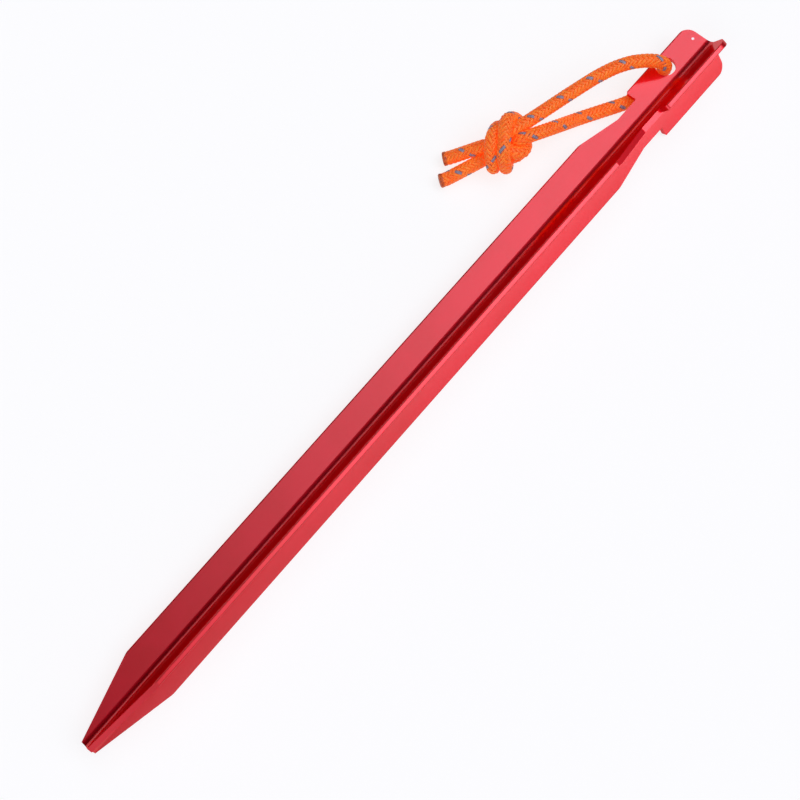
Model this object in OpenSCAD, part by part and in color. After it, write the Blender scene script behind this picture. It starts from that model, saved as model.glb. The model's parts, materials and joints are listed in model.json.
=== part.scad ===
// Y-section tent stake, lying on the ground, with its cord pull loop.
// Millimetres. +X runs from the tip to the head and +Z is up. The origin is
// at the bottom centre of the stake body. The body leans on the cord that
// passes under one of its flanges, so it is rolled a little to one side.

/* [Stake] */
// Overall length of the stake
stake_len = 180; // [150:1:200]
// Distance from the axis to each flange's outer edge
flange_len = 6.7; // [6.5:0.1:7.5]
// Thickness of each flange
flange_t = 1.1; // [0.9:0.1:1.3]
// Radius of the rounded long edges
edge_r = 0.3; // [0.2:0.05:0.4]
// Radius of the fillet where two flanges meet
root_r = 2; // [1:0.1:2.2]
// Roll about the length, from sitting with one flange straight up
body_roll = 17; // [17:0.5:18]

/* [Head] */
// Length of the full-width head
head_len = 18.8; // [18:0.2:20]
// Radius of the head's outer corners
head_corner_r = 2.4; // [1:0.1:2.6]
// Radius of the head's corners at the notch
shoulder_r = 0.6; // [0.2:0.1:0.8]
// Depth of the guy-line notch in each flange
notch_depth = 2.5; // [2:0.1:2.6]
// Length of the straight neck at the bottom of the notch
neck_len = 5.6; // [5:0.1:7]
// Length of the slope from the neck back to full width
flare_len = 9.5; // [8:0.1:11]

/* [Tip] */
// Length of the taper at the driven end
tip_len = 17.2; // [14:0.1:22]
// Half width of the blunt tip
tip_half = 1.6; // [1.3:0.1:2]

/* [Cord hole] */
// Diameter of the hole for the cord
hole_d = 4; // [3.9:0.1:4.2]
// Distance of the hole from the head end
hole_from_end = 9.6; // [9.4:0.1:9.8]
// Distance of the hole from the axis
hole_from_axis = 4.1; // [4:0.05:4.2]

/* [Cord] */
// Diameter of the braided cord
cord_d = 2.8; // [2.6:0.1:2.8]
// Height of the tied knot
knot_h = 9.4; // [9:0.1:9.6]
// Length of the tied knot across the cord
knot_w = 12.8; // [12:0.1:13.5]

/* [Hidden] */

FLANGES = 3;
FLANGE_STEP = 360 / FLANGES;
CUT = 1;
CORD_SIDES = 8;

// Directions of the flanges about +X: the holed one, then the upright one,
// then the one that stands on the ground.
holed_angle = body_roll - 30;
upright_angle = holed_angle + FLANGE_STEP;
standing_angle = upright_angle + FLANGE_STEP;

// Centres of a flange's rounded long edges, from the axis
edge_reach = flange_len - edge_r;
edge_side = flange_t / 2 - edge_r;

// How far the section reaches from its axis: down, and to both sides
reach_down = edge_reach * -sin(standing_angle) - edge_side * cos(standing_angle) + edge_r;
reach_left = edge_reach * cos(holed_angle) - edge_side * sin(holed_angle) + edge_r;
reach_right = -edge_reach * cos(standing_angle) - edge_side * sin(standing_angle) + edge_r;
axis_y = (reach_right - reach_left) / 2;
axis_z = reach_down;

// Stations along the length
x_head = stake_len / 2;
x_tip = -stake_len / 2;
x_shoulder = x_head - head_len;
x_neck = x_shoulder - neck_len;
x_flare = x_neck - flare_len;
x_taper = x_tip + tip_len;
neck_half = flange_len - notch_depth;

// Centre of the cord hole, in the holed flange
hole_x = x_head - hole_from_end;
hole_y = axis_y + hole_from_axis * cos(holed_angle);
hole_z = axis_z + hole_from_axis * sin(holed_angle);

// Centreline of the cord from the hole, over the flange, to the knot
UPPER_RUN = [
    [hole_x, hole_y, hole_z],
    [hole_x, hole_y, hole_z + 0.9],
    [80.2, 3.7, 6.1],
    [79.5, 4.7, 6.8],
    [78.2, 6.3, 7.0],
    [75.6, 8.7, 6.9],
    [72.4, 10.5, 6.8],
    [68.4, 12.0, 6.6],
    [64.8, 13.0, 6.4],
    [61.2, 14.0, 6.2],
    [57.8, 14.9, 6.0],
    [54.2, 15.8, 5.8],
];

// Centreline of the cord from the hole, under the flange, to the knot
LOWER_RUN = [
    [hole_x, hole_y, hole_z],
    [hole_x, hole_y, hole_z - 0.9],
    [80.1, 3.1, 2.5],
    [79.4, 3.1, 1.8],
    [78.3, 3.2, 1.5],
    [76.6, 3.3, 1.4],
    [74.2, 3.5, 1.4],
    [71.6, 4.1, 1.4],
    [69.4, 5.2, 1.4],
    [66.6, 6.8, 1.4],
    [63.7, 8.4, 1.5],
    [60.3, 10.2, 1.8],
    [57.2, 11.9, 2.3],
    [53.8, 13.6, 2.8],
];

// Centrelines of the two short tails, from the knot to their cut ends
UPPER_TAIL = [
    [44.6, 18.0, 3.6],
    [42.6, 19.6, 2.8],
    [40.6, 21.4, 1.9],
    [37.6, 23.9, 1.4],
];
LOWER_TAIL = [
    [43.4, 15.0, 2.6],
    [41.2, 16.2, 1.8],
    [38.4, 18.2, 1.4],
    [33.8, 21.5, 1.4],
];

// The knot's centre and the direction of its long axis
KNOT_CENTRE = [48.4, 17];
KNOT_ANGLE = 30;

// A level direction that no stretch of cord runs along
CORD_ACROSS = [0.7, 0.7, 0];

function unit(v) = v / norm(v);

// Direction of a route at point i
function heading(route, i) =
    let (before = max(i - 1, 0), after = min(i + 1, len(route) - 1))
    i == 0 ? unit(route[1] - route[0]) : unit(route[after] - route[before]);

// The ring of corners about point i of a route
function ring(route, i) =
    let (along = heading(route, i))
    let (up = unit(cross(along, CORD_ACROSS)), side = cross(along, up))
    [for (k = [0:CORD_SIDES - 1])
        route[i] + cord_d / 2 * (cos(k * 360 / CORD_SIDES) * up
            + sin(k * 360 / CORD_SIDES) * side)];

module cord_tube(route) {
    last = len(route) - 1;
    corners = [for (i = [0:last]) each ring(route, i)];
    start_cap = [[for (k = [0:CORD_SIDES - 1]) k]];
    end_cap = [[for (k = [CORD_SIDES - 1:-1:0]) last * CORD_SIDES + k]];
    walls = [for (i = [0:last - 1], k = [0:CORD_SIDES - 1])
        let (a = i * CORD_SIDES + k, b = i * CORD_SIDES + (k + 1) % CORD_SIDES)
        each [[a, a + CORD_SIDES, b + CORD_SIDES], [a, b + CORD_SIDES, b]]];
    polyhedron(points = corners, faces = concat(start_cap, end_cap, walls), convexity = 4);
}

// One flange's section, along +X from the axis, with rounded outer edges
module flange_section() {
    translate([0, -flange_t / 2])
        square([edge_reach, flange_t]);
    translate([0, -edge_side])
        square([flange_len, 2 * edge_side]);
    for (side = [-1, 1])
        translate([edge_reach, side * edge_side])
            circle(r = edge_r, $fn = 32);
}

// The concave fillet between a flange along +X and the next one
module root_section() {
    half = FLANGE_STEP / 2;
    corner = (flange_t / 2 + root_r) / sin(half);
    foot = corner * cos(half);
    difference() {
        polygon([[0, 0], [foot, flange_t / 2], corner * [cos(half), sin(half)],
            [foot * cos(FLANGE_STEP) + flange_t / 2 * sin(FLANGE_STEP),
                foot * sin(FLANGE_STEP) - flange_t / 2 * cos(FLANGE_STEP)]]);
        translate(corner * [cos(half), sin(half)])
            circle(r = root_r, $fn = 64);
    }
}

module y_section() {
    for (i = [0:FLANGES - 1])
        rotate(i * FLANGE_STEP) {
            flange_section();
            root_section();
        }
}

// One flange's outline: x along the stake, y out from the axis
module flange_outline() {
    inside = -0.6;
    difference() {
        polygon([[x_tip, inside], [x_head, inside], [x_head, flange_len],
            [x_shoulder, flange_len], [x_shoulder, neck_half], [x_neck, neck_half],
            [x_flare, flange_len], [x_taper, flange_len], [x_tip, tip_half]]);
        outline_corner(x_head, head_corner_r, 1);
        outline_corner(x_shoulder, shoulder_r, -1);
    }
}

// What a rounded corner of radius r removes at the flange's outer edge
module outline_corner(x, r, facing) {
    difference() {
        translate([min(x - facing * r, x + facing * CUT), flange_len - r])
            square([r + CUT, r + CUT]);
        translate([x - facing * r, flange_len - r])
            circle(r = r, $fn = 64);
    }
}

// The flange outlines as thick slabs, about +X, which trim the extrusion
module outline_slabs() {
    slab_t = flange_t + root_r;
    for (i = [0:FLANGES - 1])
        rotate([i * FLANGE_STEP, 0, 0])
            translate([0, 0, -slab_t / 2])
                linear_extrude(slab_t)
                    flange_outline();
}

module stake_body() {
    color("crimson")
        translate([0, axis_y, axis_z])
            rotate([holed_angle, 0, 0])
                difference() {
                    intersection() {
                        translate([x_tip, 0, 0])
                            rotate([90, 0, 90])
                                linear_extrude(stake_len)
                                    y_section();
                        outline_slabs();
                    }
                    translate([hole_x, hole_from_axis, -flange_t])
                        cylinder(d = hole_d, h = 2 * flange_t, $fn = 64);
                }
}

module cord_upper_run() {
    color("darkorange")
        cord_tube(UPPER_RUN);
}

module cord_lower_run() {
    color("darkorange")
        cord_tube(LOWER_RUN);
}

// The outer shape of the overhand knot that both ends are tied in
module cord_knot() {
    offset_x = (knot_w - knot_h) / 2;
    color("darkorange")
        translate([KNOT_CENTRE[0], KNOT_CENTRE[1], knot_h / 2])
            rotate(KNOT_ANGLE)
                hull()
                    for (side = [-1, 1])
                        translate([side * offset_x, 0, 0])
                            sphere(d = knot_h, $fn = 32);
}

module cord_upper_tail() {
    color("darkorange")
        cord_tube(UPPER_TAIL);
}

module cord_lower_tail() {
    color("darkorange")
        cord_tube(LOWER_TAIL);
}

stake_body();
cord_upper_run();
cord_lower_run();
cord_knot();
cord_upper_tail();
cord_lower_tail();
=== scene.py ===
"""Looks for the tent stake: anodised aluminium stake and braided pull cord.

Everything is in metres, in the CAD model's frame: +X runs from the tip to the
head, +Z is up and the ground is z = 0.
"""

import json
import math

import bpy
import numpy as np
from mathutils import Matrix, Vector


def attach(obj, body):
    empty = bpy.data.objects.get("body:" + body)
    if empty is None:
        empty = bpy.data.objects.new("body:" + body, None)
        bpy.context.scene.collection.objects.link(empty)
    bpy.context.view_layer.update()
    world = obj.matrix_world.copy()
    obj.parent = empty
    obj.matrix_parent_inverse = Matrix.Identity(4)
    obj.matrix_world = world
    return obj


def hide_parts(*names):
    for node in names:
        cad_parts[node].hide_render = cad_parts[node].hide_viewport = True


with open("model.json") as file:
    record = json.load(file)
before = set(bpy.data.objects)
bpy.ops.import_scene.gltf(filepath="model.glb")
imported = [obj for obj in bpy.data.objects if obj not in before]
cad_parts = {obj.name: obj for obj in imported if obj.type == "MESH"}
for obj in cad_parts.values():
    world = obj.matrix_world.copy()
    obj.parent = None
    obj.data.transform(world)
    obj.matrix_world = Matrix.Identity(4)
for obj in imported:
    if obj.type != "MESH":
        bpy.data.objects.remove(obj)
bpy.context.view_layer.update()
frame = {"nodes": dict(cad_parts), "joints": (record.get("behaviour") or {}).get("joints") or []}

MM = 0.001

# The camera: where it is, what it looks at, and its roll from +Y upright
CAMERA_AT = Vector((-0.0481, -0.01562, 0.28899))
CAMERA_TARGET = Vector((-0.00475, -0.00121, 0.005))
CAMERA_ROLL = math.radians(48.874)
CAMERA_LENS = 68.55
SENSOR_WIDTH = 36.0


# ---------------------------------------------------------------- node tools

def add(tree, kind, settings=None, **inputs):
    """Adds a node. An input given as a socket is linked, anything else is set."""
    made = tree.nodes.new(kind)
    for name, value in (settings or {}).items():
        setattr(made, name, value)
    for name, value in inputs.items():
        key = int(name[1:]) if name[0] == "i" and name[1:].isdigit() else name.replace("_", " ")
        if isinstance(value, bpy.types.NodeSocket):
            tree.links.new(value, made.inputs[key])
        else:
            made.inputs[key].default_value = value
    return made


def calc(tree, operation, first, second=0.0, third=0.0):
    """A Math node's result."""
    settings = {"operation": operation}
    return add(tree, "ShaderNodeMath", settings, i0=first, i1=second, i2=third).outputs[0]


def ramp(tree, value, low, high, to_low=0.0, to_high=1.0):
    """value taken smoothly from low..high to to_low..to_high, and held beyond."""
    settings = {"interpolation_type": "SMOOTHSTEP"}
    made = add(tree, "ShaderNodeMapRange", settings, Value=value, From_Min=low, From_Max=high,
               To_Min=to_low, To_Max=to_high)
    return made.outputs["Result"]


def blend_colour(tree, amount, first, second):
    """Two colours mixed by amount."""
    made = add(tree, "ShaderNodeMix", {"data_type": "RGBA"}, i0=amount)
    for index, value in ((6, first), (7, second)):
        if isinstance(value, bpy.types.NodeSocket):
            tree.links.new(value, made.inputs[index])
        else:
            made.inputs[index].default_value = (*value, 1.0)
    return made.outputs[2]


# ---------------------------------------------------------------- the studio

def make_camera():
    data = bpy.data.cameras.new("camera")
    data.lens = CAMERA_LENS
    data.sensor_width = SENSOR_WIDTH
    data.clip_start = 0.01
    camera = bpy.data.objects.new("camera", data)
    bpy.context.scene.collection.objects.link(camera)
    ahead = (CAMERA_TARGET - CAMERA_AT).normalized()
    level = ahead.cross(Vector((0, 1, 0))).normalized()
    raised = level.cross(ahead)
    up = raised * math.cos(CAMERA_ROLL) + level * math.sin(CAMERA_ROLL)
    right = ahead.cross(up)
    axes = Matrix((right, up, -ahead)).transposed().to_4x4()
    camera.matrix_world = Matrix.Translation(CAMERA_AT) @ axes
    bpy.context.scene.camera = camera


# The studio's light by direction: for each, where it starts and ends along one
# axis of the direction, and how strong it is there
HEAD_SIDE_X = (-0.22, 0.42, 0.14, 1.82)
PAST_HEAD_X = (0.50, 0.78, 1.0, 0.06)
TIP_SIDE_X = (-0.90, -0.45, 1.20, 0.0)
STRIP_Y = (-0.85, -0.60, 1.0, 0.0)
STRIP_Z = (0.03, 0.18, 1.0, -0.8)
STRIP_GAIN = 0.7
PANEL_X = (-0.20, 0.20, 0.2, 0.7)
PANEL_Y = (-0.10, 0.15, 1.0, 0.0)
PANEL_Z = (0.60, 0.85)

# The dark side: it covers the +Y side, from the horizon up to about 50 degrees
SHADE_TILT = (0.866, -0.5)
SHADE_ACROSS = (0.04, 0.20)
SHADE_Z = (0.0, 0.08)
SHADE_DEPTH = -0.97

LIGHT_COLOUR = (0.97, 0.97, 1.10, 1)
BACKGROUND = (0.93, 0.93, 0.93, 1)


def studio_light(tree, axes):
    """How bright the studio is in a direction."""
    head_side = ramp(tree, axes["X"], *HEAD_SIDE_X)
    past_head = ramp(tree, axes["X"], *PAST_HEAD_X)
    tip_side = ramp(tree, axes["X"], *TIP_SIDE_X)
    strip = calc(tree, "MULTIPLY", ramp(tree, axes["Y"], *STRIP_Y), ramp(tree, axes["Z"], *STRIP_Z))
    strip = calc(tree, "MULTIPLY_ADD", strip, STRIP_GAIN, 1.0)
    panel = calc(tree, "MULTIPLY", ramp(tree, axes["Y"], *PANEL_Y), ramp(tree, axes["Z"], *PANEL_Z))
    panel = calc(tree, "MULTIPLY", panel, ramp(tree, axes["X"], *PANEL_X))
    glow = calc(tree, "MULTIPLY_ADD", head_side, strip, panel)
    return calc(tree, "MULTIPLY_ADD", glow, past_head, tip_side)


def studio_shade(tree, axes):
    """What is left of the light in a direction, after the dark side."""
    across = calc(tree, "MULTIPLY", axes["Y"], SHADE_TILT[0])
    across = calc(tree, "MULTIPLY_ADD", axes["Z"], SHADE_TILT[1], across)
    shade = calc(tree, "MULTIPLY", ramp(tree, across, *SHADE_ACROSS), ramp(tree, axes["Z"], *SHADE_Z))
    return calc(tree, "MULTIPLY_ADD", shade, SHADE_DEPTH, 1.0)


def make_world():
    """A soft studio: bright towards the head end, dark on the +Y side."""
    world = bpy.data.worlds.new("studio")
    bpy.context.scene.world = world
    world.use_nodes = True
    tree = world.node_tree
    tree.nodes.clear()
    direction = add(tree, "ShaderNodeTexCoord").outputs["Generated"]
    axes = add(tree, "ShaderNodeSeparateXYZ", Vector=direction).outputs
    light = calc(tree, "MULTIPLY", studio_light(tree, axes), studio_shade(tree, axes))
    lit = add(tree, "ShaderNodeBackground", Color=LIGHT_COLOUR, Strength=light)
    plain = add(tree, "ShaderNodeBackground", Color=BACKGROUND, Strength=1.0)
    seen = add(tree, "ShaderNodeLightPath").outputs["Is Camera Ray"]
    both = add(tree, "ShaderNodeMixShader", i0=seen, i1=lit.outputs[0], i2=plain.outputs[0])
    add(tree, "ShaderNodeOutputWorld", Surface=both.outputs[0])


# The floor, and its own glow: as the camera sees it, and what it gives the
# stake, by distance from the middle and by place on X and Y
FLOOR_HALF = 1.5
FLOOR_GREY = (0.25, 0.25, 0.25, 1)
SEEN_GLOW = 0.8
NEAR_GLOW = (0.12, 0.30, 0.56, 0.0)
BEYOND_GLOW_X = (-0.12, 0.10, 0.02, 1.6)
BEYOND_GLOW_Y = (-0.25, -0.10, 1.0, 0.0)


def floor_paint():
    """White paint that glows, so that the floor stays plain round the shadow."""
    paint = bpy.data.materials.new("floor_white")
    paint.use_nodes = True
    tree = paint.node_tree
    shader = tree.nodes["Principled BSDF"]
    shader.inputs["Base Color"].default_value = FLOOR_GREY
    shader.inputs["Roughness"].default_value = 0.9
    shader.inputs["Specular IOR Level"].default_value = 0.0
    shader.inputs["Emission Color"].default_value = (1, 1, 1, 1)
    place = add(tree, "ShaderNodeTexCoord").outputs["Object"]
    out = add(tree, "ShaderNodeVectorMath", {"operation": "LENGTH"}, i0=place).outputs["Value"]
    axes = add(tree, "ShaderNodeSeparateXYZ", Vector=place).outputs
    near = ramp(tree, out, *NEAR_GLOW)
    beyond = calc(tree, "MULTIPLY", ramp(tree, axes["X"], *BEYOND_GLOW_X),
                  ramp(tree, axes["Y"], *BEYOND_GLOW_Y))
    given = calc(tree, "MAXIMUM", near, beyond)
    seen = add(tree, "ShaderNodeLightPath").outputs["Is Camera Ray"]
    glow = add(tree, "ShaderNodeMix", i0=seen, i2=given, i3=SEEN_GLOW).outputs[0]
    tree.links.new(glow, shader.inputs["Emission Strength"])
    return paint


def make_floor():
    half = FLOOR_HALF
    mesh = bpy.data.meshes.new("floor")
    corners = [(-half, -half, 0), (half, -half, 0), (half, half, 0), (-half, half, 0)]
    mesh.from_pydata(corners, [], [(0, 1, 2, 3)])
    floor = bpy.data.objects.new("floor", mesh)
    bpy.context.scene.collection.objects.link(floor)
    mesh.materials.append(floor_paint())


# ---------------------------------------------------------------- the stake

# The anodised colour, from its deepest to its brightest, and its sheen
RED_DEEP = (0.86, 0.003, 0.014)
RED_BRIGHT = (0.92, 0.004, 0.020)
RED_AT_EDGE = (0.90, 0.03, 0.06, 1)
STAKE_ROUGHNESS = 0.35
LINES_ROUGHNESS = 0.10

# Extrusion lines run along X, so they are stretched that way
LINES_STRETCH = (12, 900, 900)
LINES_SCALE = 6.0
CLOUDS_SCALE = 90.0
GRAIN_SCALE = 9000.0
LINES_SHARE = 0.7
GRAIN_SHARE = 0.3
RELIEF_DEPTH = 0.00003

# The bare speck that the anodising rack leaves, near the head's corner
MARK_AT = (0.0885, 0.002886, 0.004848)
MARK_RADIUS = 0.00018
BARE_METAL = (0.95, 0.85, 0.83)


def anodised_red():
    """Red anodised aluminium with faint extrusion lines and fine etched grain."""
    material = bpy.data.materials.new("anodised_red")
    material.use_nodes = True
    tree = material.node_tree
    shader = tree.nodes["Principled BSDF"]
    place = add(tree, "ShaderNodeTexCoord").outputs["Object"]
    stretched = add(tree, "ShaderNodeMapping", Vector=place, Scale=LINES_STRETCH).outputs[0]
    lines = add(tree, "ShaderNodeTexNoise", Vector=stretched, Scale=LINES_SCALE, Detail=4.0).outputs[0]
    clouds = add(tree, "ShaderNodeTexNoise", Vector=place, Scale=CLOUDS_SCALE, Detail=3.0).outputs[0]
    grain = add(tree, "ShaderNodeTexNoise", Vector=place, Scale=GRAIN_SCALE, Detail=2.0).outputs[0]
    tint = blend_colour(tree, ramp(tree, clouds, 0.35, 0.65), RED_DEEP, RED_BRIGHT)
    gap = add(tree, "ShaderNodeVectorMath", {"operation": "DISTANCE"}, i0=place, i1=MARK_AT)
    bare = ramp(tree, gap.outputs["Value"], MARK_RADIUS, 2 * MARK_RADIUS, 1.0, 0.0)
    tint = blend_colour(tree, bare, tint, BARE_METAL)
    tree.links.new(tint, shader.inputs["Base Color"])
    rough = calc(tree, "MULTIPLY_ADD", lines, LINES_ROUGHNESS, STAKE_ROUGHNESS)
    tree.links.new(rough, shader.inputs["Roughness"])
    shader.inputs["Metallic"].default_value = 1.0
    shader.inputs["Specular Tint"].default_value = RED_AT_EDGE
    shader.inputs["Coat Weight"].default_value = 0.4
    shader.inputs["Coat IOR"].default_value = 2.3
    shader.inputs["Coat Roughness"].default_value = 0.12
    relief = calc(tree, "ADD", calc(tree, "MULTIPLY", lines, LINES_SHARE),
                  calc(tree, "MULTIPLY", grain, GRAIN_SHARE))
    bump = add(tree, "ShaderNodeBump", Height=relief, Strength=0.25, Distance=RELIEF_DEPTH)
    tree.links.new(bump.outputs[0], shader.inputs["Normal"])
    return material


# ---------------------------------------------------------------- the cord's line

CORD_D = 0.0028
HOLE = tuple(frame["joints"][0]["pos_m"])

# The cord's route from the hole to the knot, over the flange and under it,
# and the ends of its two tails, as in the CAD model
UPPER_RUN = [
    HOLE, (0.0804, 0.003123, 0.00513), (0.0802, 0.0037, 0.0061), (0.0795, 0.0047, 0.0068),
    (0.0782, 0.0063, 0.0070), (0.0756, 0.0087, 0.0069), (0.0724, 0.0105, 0.0068),
    (0.0684, 0.0120, 0.0066), (0.0648, 0.0130, 0.0064), (0.0612, 0.0140, 0.0062),
]
LOWER_RUN = [
    HOLE, (0.0804, 0.003123, 0.00333), (0.0801, 0.0031, 0.0025), (0.0794, 0.0031, 0.0018),
    (0.0783, 0.0032, 0.0015), (0.0766, 0.0033, 0.0014), (0.0742, 0.0035, 0.0014),
    (0.0716, 0.0041, 0.0014), (0.0694, 0.0052, 0.0014), (0.0666, 0.0068, 0.0014),
    (0.0637, 0.0084, 0.0015), (0.0603, 0.0102, 0.0018),
]
UPPER_TAIL = [(0.0406, 0.0214, 0.0019), (0.0376, 0.0239, 0.0014)]
LOWER_TAIL = [(0.0384, 0.0182, 0.0014), (0.0338, 0.0215, 0.0014)]

# The loose overhand knot that both ends are tied in, before it is pulled tight
KNOT_AT = np.array([0.0467, 0.0158, 0.0054])
KNOT_TURNS = (295.0, 27.0, 192.0)
KNOT_SCALE = 0.00336
KNOT_DEPTH = 0.8
KNOT_OPENING = 0.25
KNOT_POINTS = 60
SIDE_BY_SIDE = 0.0015

# How the knot is pulled tight: the links' starting length, how close the
# strands' middles may come, and how short the free stretches end up
LINK = 0.0012
TIGHT_D = 0.00238
PULLED_TO = 0.38
PULL_STEPS = 900
PULLED_BY = 0.6
STRAIGHTENING = 0.2
LOOK_AGAIN = 20
LOOK_BEYOND = 0.0016
PUSHES = 3
PUSH = 0.25

# Points closer than this along a strand, in diameters, don't press on each other
OWN_STRETCH = 1.6


def turned(points, degrees):
    """points turned about X, then Y, then Z."""
    about_x, about_y, about_z = (math.radians(a) for a in degrees)
    turn = Matrix.Rotation(about_z, 3, "Z") @ Matrix.Rotation(about_y, 3, "Y")
    turn = np.array(turn @ Matrix.Rotation(about_x, 3, "X"))
    return points @ turn.T


def spaced(points, step):
    """The same line with points about step apart."""
    points = np.array(points, float)
    along = np.r_[0, np.cumsum(np.linalg.norm(np.diff(points, axis=0), axis=1))]
    at = np.linspace(0, along[-1], int(round(along[-1] / step)) + 1)
    return np.stack([np.interp(at, along, points[:, k]) for k in range(3)], axis=1)


def loose_knot(side):
    """One strand of a loose overhand knot, an opened trefoil; side is +1 or -1."""
    t = np.linspace(math.pi + KNOT_OPENING, 3 * math.pi - KNOT_OPENING, KNOT_POINTS)
    line = KNOT_SCALE * np.stack([
        np.sin(t) + 2 * np.sin(2 * t),
        np.cos(t) - 2 * np.cos(2 * t),
        KNOT_DEPTH * np.sin(3 * t),
    ], axis=1)
    along = np.gradient(line, axis=0)
    beside = np.stack([-along[:, 1], along[:, 0], 0 * t], axis=1)
    beside /= np.linalg.norm(beside, axis=1)[:, None]
    line = turned(line + side * SIDE_BY_SIDE * beside, KNOT_TURNS) + KNOT_AT
    return line if line[0, 0] > line[-1, 0] else line[::-1]


def pairs_to_keep_apart(strand, held):
    """Pairs of points that may press on each other."""
    near_along = math.ceil(OWN_STRETCH * TIGHT_D / LINK)
    first, second = np.triu_indices(len(strand), 1)
    apart = ~((strand[first] == strand[second]) & (second - first <= near_along))
    apart &= ~(held[first] & held[second])
    return first[apart], second[apart]


def shorten(place, links, lengths):
    """Moves both ends of every other link at a time, to its new length."""
    for odd in (0, 1):
        k = links[odd::2]
        span = place[k + 1] - place[k]
        length = np.linalg.norm(span, axis=1)
        move = (0.5 * (length - lengths[odd::2]) / length)[:, None] * span
        place[k] += move
        place[k + 1] -= move


def push_apart(place, a, b):
    """Moves points that are closer than the cord's tight diameter."""
    count = len(place)
    for _ in range(PUSHES):
        gap = place[b] - place[a]
        length = np.linalg.norm(gap, axis=1)
        touch = length < TIGHT_D
        move = (PUSH * (TIGHT_D - length) / length)[touch, None] * gap[touch]
        for k in range(3):
            push = np.bincount(b[touch], move[:, k], count)
            place[:, k] += push - np.bincount(a[touch], move[:, k], count)


def pull_tight(strands, held):
    """Shortens the strands' free stretches until they press on each other."""
    place = np.concatenate(strands)
    strand = np.repeat(np.arange(len(strands)), [len(s) for s in strands])
    held = np.concatenate(held)
    home = place.copy()
    links = np.flatnonzero(strand[:-1] == strand[1:])
    loose = np.linalg.norm(place[links + 1] - place[links], axis=1)
    middle = links[(links > 0) & (strand[links - 1] == strand[links])]
    first, second = pairs_to_keep_apart(strand, held)
    for step in range(PULL_STEPS):
        if step % LOOK_AGAIN == 0:
            gap = place[second] - place[first]
            close = (gap * gap).sum(1) < (TIGHT_D + LOOK_BEYOND) ** 2
        pulled = 1 - (1 - PULLED_TO) * min(1, step / (PULLED_BY * PULL_STEPS))
        shorten(place, links, pulled * loose)
        straight = 0.5 * (place[middle - 1] + place[middle + 1])
        place[middle] += STRAIGHTENING * (straight - place[middle])
        push_apart(place, first[close], second[close])
        place[:, 2] = np.maximum(place[:, 2], CORD_D / 2)
        place[held] = home[held]
    ends = np.cumsum([len(s) for s in strands])
    return np.split(place, ends[:-1])


def cord_lines():
    """The two halves of the cord, each from the hole to its tail's end."""
    strands, held = [], []
    for run, tail, side in ((UPPER_RUN, UPPER_TAIL, 1), (LOWER_RUN, LOWER_TAIL, -1)):
        line = spaced(np.concatenate([run, loose_knot(side), tail]), LINK)
        along = np.r_[0, np.cumsum(np.linalg.norm(np.diff(line, axis=0), axis=1))]
        fixed = along < np.linalg.norm(np.diff(run, axis=0), axis=1).sum()
        fixed[-2:] = True
        strands.append(line)
        held.append(fixed)
    return pull_tight(strands, held)


# ---------------------------------------------------------------- the braid

RING_STEP = 0.00022
YARNS = 16
TURN_LENGTH = 0.0072
YARN_WIDTH = 0.00064
WIDTH_SPREAD = (0.94, 1.06)
YARN_THICK = 0.00028
WEAVE_DEPTH = 0.00009
WEAVE_SQUARENESS = 1.5
BRAID_RADIUS = CORD_D / 2 - YARN_THICK / 2 - WEAVE_DEPTH
YARN_SIDES = 6
TRACER = 5
CORE_RADIUS = 0.00098
CORE_SIDES = 14

# Rings of the heat-sealed end: distance past the cord's end, and radius
SEAL_RINGS = [
    (-0.0007, 0.00115), (-0.00045, 0.00137), (-0.0001, 0.00143), (0.00012, 0.00138),
    (0.00026, 0.00118), (0.00031, 0.0007), (0.00028, 0.0001),
]
SEAL_SIDES = 28
SEAL_LUMPS = 0.05

# The lowest point the cord may reach, and how much its line is rounded
GROUND = 0.00002
SMOOTHING = 30

# How flat strands press each other, as a part of the cord's diameter
DEEPEST_PRESS = 0.35
PRESS_STEP = 3
PRESS_CHUNK = 4000

# The order of the cord's materials
YARN_PAINT, TRACER_PAINT, CORE_PAINT, SEAL_PAINT = range(4)
PLAIN_SHADE = 0.5
BRAID_SEED = 11


def softened(line, passes):
    """The line with its corners rounded, its ends kept."""
    line = line.copy()
    for _ in range(passes):
        line[1:-1] = 0.25 * line[:-2] + 0.5 * line[1:-1] + 0.25 * line[2:]
    return line


def carried_frames(line):
    """Each point's direction and two axes across it, carried along without twist."""
    along = np.gradient(line, axis=0)
    along /= np.linalg.norm(along, axis=1)[:, None]
    first = np.zeros_like(line)
    first[0] = np.cross(along[0], (0.0, 0.0, 1.0))
    for i in range(len(line)):
        axis = first[max(i - 1, 0)]
        axis = axis - axis.dot(along[i]) * along[i]
        first[i] = axis / np.linalg.norm(axis)
    return along, first, np.cross(along, first)


def grid_faces(rows, sides, start):
    """Quads between rows of vertices, and a face on each end."""
    row = start + np.arange(rows)[:, None] * sides
    side = np.arange(sides)[None, :]
    after = (side + 1) % sides
    quads = np.stack([row[:-1] + side, row[:-1] + after, row[1:] + after, row[1:] + side], axis=-1)
    faces = [tuple(q) for q in quads.reshape(-1, 4).tolist()]
    faces.append(tuple(range(start + sides - 1, start - 1, -1)))
    faces.append(tuple(range(start + (rows - 1) * sides, start + rows * sides)))
    return faces


def yarn_course(yarn, distance):
    """A yarn's turn about the cord, and how far out it rides: +1 over, -1 under."""
    hand = 1 if yarn % 2 else -1
    place = yarn // 2
    turn = hand * (2 * math.pi * distance / TURN_LENGTH) + 2 * math.pi * place / (YARNS / 2)
    crossing = YARNS * distance / TURN_LENGTH
    phase = crossing + 2 * place if hand > 0 else 2 * place - crossing
    over = hand * np.cos(2 * math.pi * (phase - 0.5) / 4)
    return hand, turn, np.clip(WEAVE_SQUARENESS * over, -1, 1)


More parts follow.
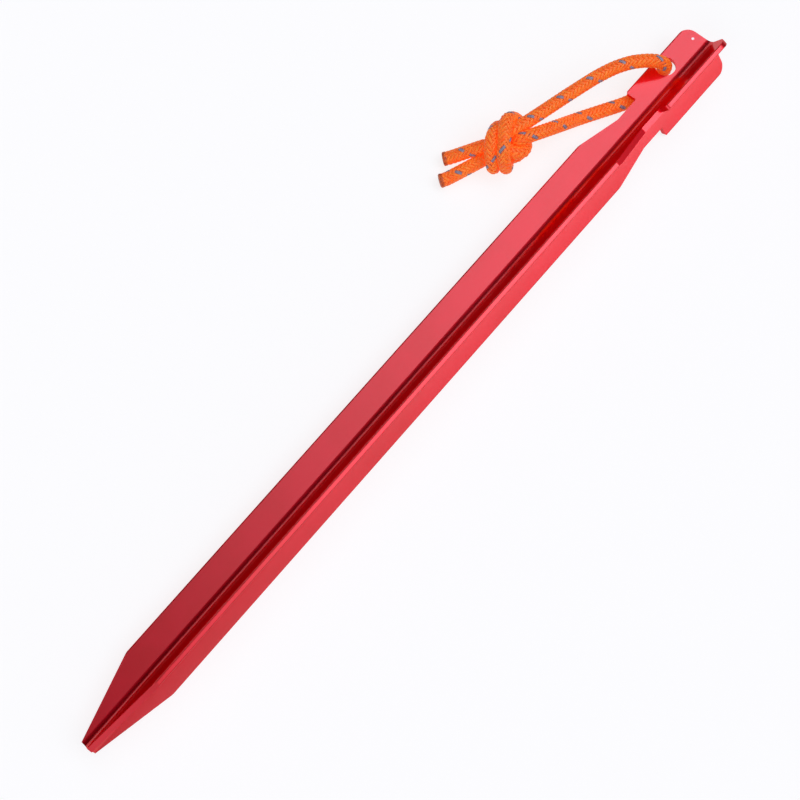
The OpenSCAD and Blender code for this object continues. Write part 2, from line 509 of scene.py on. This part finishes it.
def braid_yarns(line, frames, distance, rng):
    """Every yarn's rings of vertices, in a two-over two-under braid."""
    along, first, second = frames
    around = np.linspace(0, 2 * math.pi, YARN_SIDES, endpoint=False)
    yarns = []
    for yarn in range(YARNS):
        hand, turn, over = yarn_course(yarn, distance)
        out = np.cos(turn)[:, None] * first + np.sin(turn)[:, None] * second
        slope = 2 * math.pi * BRAID_RADIUS / TURN_LENGTH * hand
        heading = along + slope * np.cross(along, out)
        heading /= np.linalg.norm(heading, axis=1)[:, None]
        flat = np.cross(out, heading)
        radius = BRAID_RADIUS + WEAVE_DEPTH * over
        width = YARN_WIDTH * rng.uniform(*WIDTH_SPREAD)
        middle = line + radius[:, None] * out
        yarns.append(middle[:, None]
                     + width / 2 * np.cos(around)[None, :, None] * flat[:, None]
                     + YARN_THICK / 2 * np.sin(around)[None, :, None] * out[:, None])
    return yarns


def round_tube(line, frames, radii, sides, wobble=1.0):
    """Rings of vertices round a line."""
    _, first, second = frames
    around = np.linspace(0, 2 * math.pi, sides, endpoint=False)[None, :, None]
    spokes = np.cos(around) * first[:, None] + np.sin(around) * second[:, None]
    reach = np.broadcast_to(np.asarray(radii)[:, None], (len(line), sides)) * wobble
    return line[:, None] + reach[..., None] * spokes


def pressed(points, own, line, distance):
    """Moves points that reach into a neighbouring strand back to half way."""
    far, where = line[::PRESS_STEP], distance[::PRESS_STEP]
    result = points.copy()
    for start in range(0, len(points), PRESS_CHUNK):
        part = points[start:start + PRESS_CHUNK]
        mine = own[start:start + PRESS_CHUNK]
        gap = np.linalg.norm(part[:, None] - far[None], axis=2)
        gap[np.abs(distance[mine][:, None] - where[None]) < OWN_STRETCH * CORD_D] = 1.0
        inward = line[mine] - part
        reach = np.linalg.norm(inward, axis=1)
        push = np.clip((reach - gap.min(axis=1)) / 2, 0, DEEPEST_PRESS * CORD_D)
        result[start:start + PRESS_CHUNK] += inward / reach[:, None] * push[:, None]
    return result


def sealed_end(line, frames, end_at_last, rng):
    """The melted end of a half cord, as rings of vertices."""
    end = -1 if end_at_last else 0
    ahead = frames[0][end] * (1 if end_at_last else -1)
    offsets = np.array([ring[0] for ring in SEAL_RINGS])
    seal_line = line[end] + offsets[:, None] * ahead
    seal_frames = tuple(np.repeat(axes[end][None], len(SEAL_RINGS), axis=0) for axes in frames)
    wobble = softened(rng.standard_normal((len(SEAL_RINGS), SEAL_SIDES)).T, 3).T
    radii = [ring[1] for ring in SEAL_RINGS]
    seal = round_tube(seal_line, seal_frames, radii, SEAL_SIDES, 1 + SEAL_LUMPS * wobble)
    return seal if end_at_last else seal[:, ::-1]


def cord_tubes(line, frames, yarns, end_at_last, rng):
    """A half cord's closed tubes, each with its material and its shade."""
    tubes = []
    for yarn, rings in enumerate(yarns):
        tubes.append((rings, TRACER_PAINT if yarn == TRACER else YARN_PAINT, rng.random()))
    core = round_tube(line, frames, np.full(len(line), CORE_RADIUS), CORE_SIDES)
    tubes.append((core, CORE_PAINT, PLAIN_SHADE))
    tubes.append((sealed_end(line, frames, end_at_last, rng), SEAL_PAINT, PLAIN_SHADE))
    return tubes


def tube_mesh(name, tubes, materials):
    """One mesh of all the tubes, whose "fibre" says where each point is on its yarn."""
    points, faces, paints, fibres = [], [], [], []
    total = 0
    for rings, paint, shade in tubes:
        rows, sides = rings.shape[:2]
        made = grid_faces(rows, sides, total)
        points.append(rings.reshape(-1, 3))
        faces.extend(made)
        paints.extend([paint] * len(made))
        side = np.tile(np.cos(np.linspace(0, 2 * math.pi, sides, endpoint=False)), rows)
        along = np.repeat(np.arange(rows) * RING_STEP / MM, sides)
        fibres.append(np.stack([side, along, np.full(rows * sides, shade)], axis=1))
        total += rows * sides
    points = np.concatenate(points)
    points[:, 2] = np.maximum(points[:, 2], GROUND)
    mesh = bpy.data.meshes.new(name)
    mesh.from_pydata(points.tolist(), [], faces)
    mesh.polygons.foreach_set("material_index", paints)
    mesh.polygons.foreach_set("use_smooth", [True] * len(faces))
    fibre = mesh.attributes.new("fibre", "FLOAT_VECTOR", "POINT")
    fibre.data.foreach_set("vector", np.concatenate(fibres).ravel())
    for material in materials:
        mesh.materials.append(material)
    mesh.update()
    return mesh


# ---------------------------------------------------------------- cord finishes

# Filaments: their skew across a yarn, and the noise's scale across and along
# it and from yarn to yarn
FILAMENT_SKEW = 0.35
FILAMENT_SCALE = (5.0, 0.5, 40.0)
NO_GLOW = (0.0, 0.0, 0.0)


def yarn_finish(name, deep, bright, roughness, glow=NO_GLOW):
    """Fine glossy filaments that run along a yarn; glow is painted light, an emission that brightens
    the yarn though it is no lamp.
    """
    material = bpy.data.materials.new(name)
    material.use_nodes = True
    tree = material.node_tree
    shader = tree.nodes["Principled BSDF"]
    fibre = add(tree, "ShaderNodeAttribute", {"attribute_name": "fibre"}).outputs["Vector"]
    parts = add(tree, "ShaderNodeSeparateXYZ", Vector=fibre).outputs
    skewed = calc(tree, "MULTIPLY_ADD", parts["Y"], FILAMENT_SKEW, parts["X"])
    scaled = (skewed, parts["Y"], parts["Z"])
    x, y, z = (calc(tree, "MULTIPLY", part, scale) for part, scale in zip(scaled, FILAMENT_SCALE))
    place = add(tree, "ShaderNodeCombineXYZ", X=x, Y=y, Z=z).outputs[0]
    strands = add(tree, "ShaderNodeTexNoise", Vector=place, Scale=1.0, Detail=2.0).outputs[0]
    spread = calc(tree, "MULTIPLY_ADD", strands, 1.5, -0.4)
    spread = calc(tree, "MULTIPLY_ADD", parts["Z"], 0.35, spread)
    tint = blend_colour(tree, ramp(tree, spread, 0.0, 1.0), deep, bright)
    tree.links.new(tint, shader.inputs["Base Color"])
    rough = calc(tree, "MULTIPLY_ADD", strands, 0.25, roughness)
    tree.links.new(rough, shader.inputs["Roughness"])
    shader.inputs["Specular IOR Level"].default_value = 0.55
    # Painted light: the emission makes the yarn look more brightly lit than the studio alone lights it
    shader.inputs["Emission Color"].default_value = (*glow, 1)
    shader.inputs["Emission Strength"].default_value = 1.0
    shader.inputs["Sheen Weight"].default_value = 0.08
    shader.inputs["Sheen Roughness"].default_value = 0.4
    bump = add(tree, "ShaderNodeBump", Height=strands, Strength=0.6, Distance=0.00004)
    tree.links.new(bump.outputs[0], shader.inputs["Normal"])
    return material


def sealed_finish():
    """Cord melted by the hot cutter: darker, uneven and a little glossy."""
    material = bpy.data.materials.new("cord_sealed_end")
    material.use_nodes = True
    tree = material.node_tree
    shader = tree.nodes["Principled BSDF"]
    place = add(tree, "ShaderNodeTexCoord").outputs["Object"]
    lumps = add(tree, "ShaderNodeTexNoise", Vector=place, Scale=1800.0, Detail=3.0).outputs[0]
    tint = blend_colour(tree, ramp(tree, lumps, 0.3, 0.7), (0.55, 0.06, 0.008), (0.9, 0.17, 0.02))
    tree.links.new(tint, shader.inputs["Base Color"])
    rough = calc(tree, "MULTIPLY_ADD", lumps, 0.3, 0.3)
    tree.links.new(rough, shader.inputs["Roughness"])
    bump = add(tree, "ShaderNodeBump", Height=lumps, Strength=0.7, Distance=0.0002)
    tree.links.new(bump.outputs[0], shader.inputs["Normal"])
    return material


def cord_finishes():
    """The cord's materials, in the order of their paint numbers."""
    return [
        # The orange yarn's glow is painted light that brightens it as if it were lit more strongly
        yarn_finish("cord_orange_yarn", (0.98, 0.11, 0.003), (1.0, 0.30, 0.020), 0.36,
                    glow=(0.23, 0.025, 0.001)),
        yarn_finish("cord_tracer_yarn", (0.20, 0.17, 0.22), (0.42, 0.36, 0.44), 0.40),
        yarn_finish("cord_core_yarn", (0.75, 0.30, 0.12), (0.9, 0.5, 0.25), 0.6),
        sealed_finish(),
    ]


# ---------------------------------------------------------------- the pull cord

def whole_braid():
    """The braid from one tail's end to the other's, in one piece through the hole."""
    upper, lower = cord_lines()
    line = np.concatenate([lower[::-1], upper[1:]])
    line = softened(spaced(line, RING_STEP), SMOOTHING)
    line = spaced(line, RING_STEP)
    distance = np.r_[0, np.cumsum(np.linalg.norm(np.diff(line, axis=0), axis=1))]
    frames = carried_frames(line)
    yarns = braid_yarns(line, frames, distance, np.random.default_rng(BRAID_SEED))
    own = np.repeat(np.arange(len(line)), YARN_SIDES)
    for index, rings in enumerate(yarns):
        yarns[index] = pressed(rings.reshape(-1, 3), own, line, distance).reshape(rings.shape)
    return line, distance, frames, yarns


def make_pull_cord():
    """Both halves of the cord, cut from one braid at the hole where they meet."""
    line, distance, frames, yarns = whole_braid()
    finishes = cord_finishes()
    middle = int(np.linalg.norm(line - np.array(HOLE), axis=1).argmin())
    halves = (
        ("pull_cord_upper", slice(middle, None), True,
         ("cord_upper_run", "cord_knot", "cord_upper_tail")),
        ("pull_cord_lower", slice(0, middle + 1), False, ("cord_lower_run", "cord_lower_tail")),
    )
    for seed, (name, keep, end_at_last, nodes) in enumerate(halves):
        path = line[keep]
        own_frames = tuple(axes[keep] for axes in frames)
        own_yarns = [rings[keep] for rings in yarns]
        tubes = cord_tubes(path, own_frames, own_yarns, end_at_last, np.random.default_rng(seed))
        piece = bpy.data.objects.new(name, tube_mesh(name, tubes, finishes))
        bpy.context.scene.collection.objects.link(piece)
        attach(piece, "pull_cord")
        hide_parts(*nodes)


bpy.context.scene.view_settings.view_transform = "Standard"
make_camera()
make_world()
make_floor()
make_pull_cord()

stake = frame["nodes"]["stake_body"]
stake.data.materials.clear()
stake.data.materials.append(anodised_red())
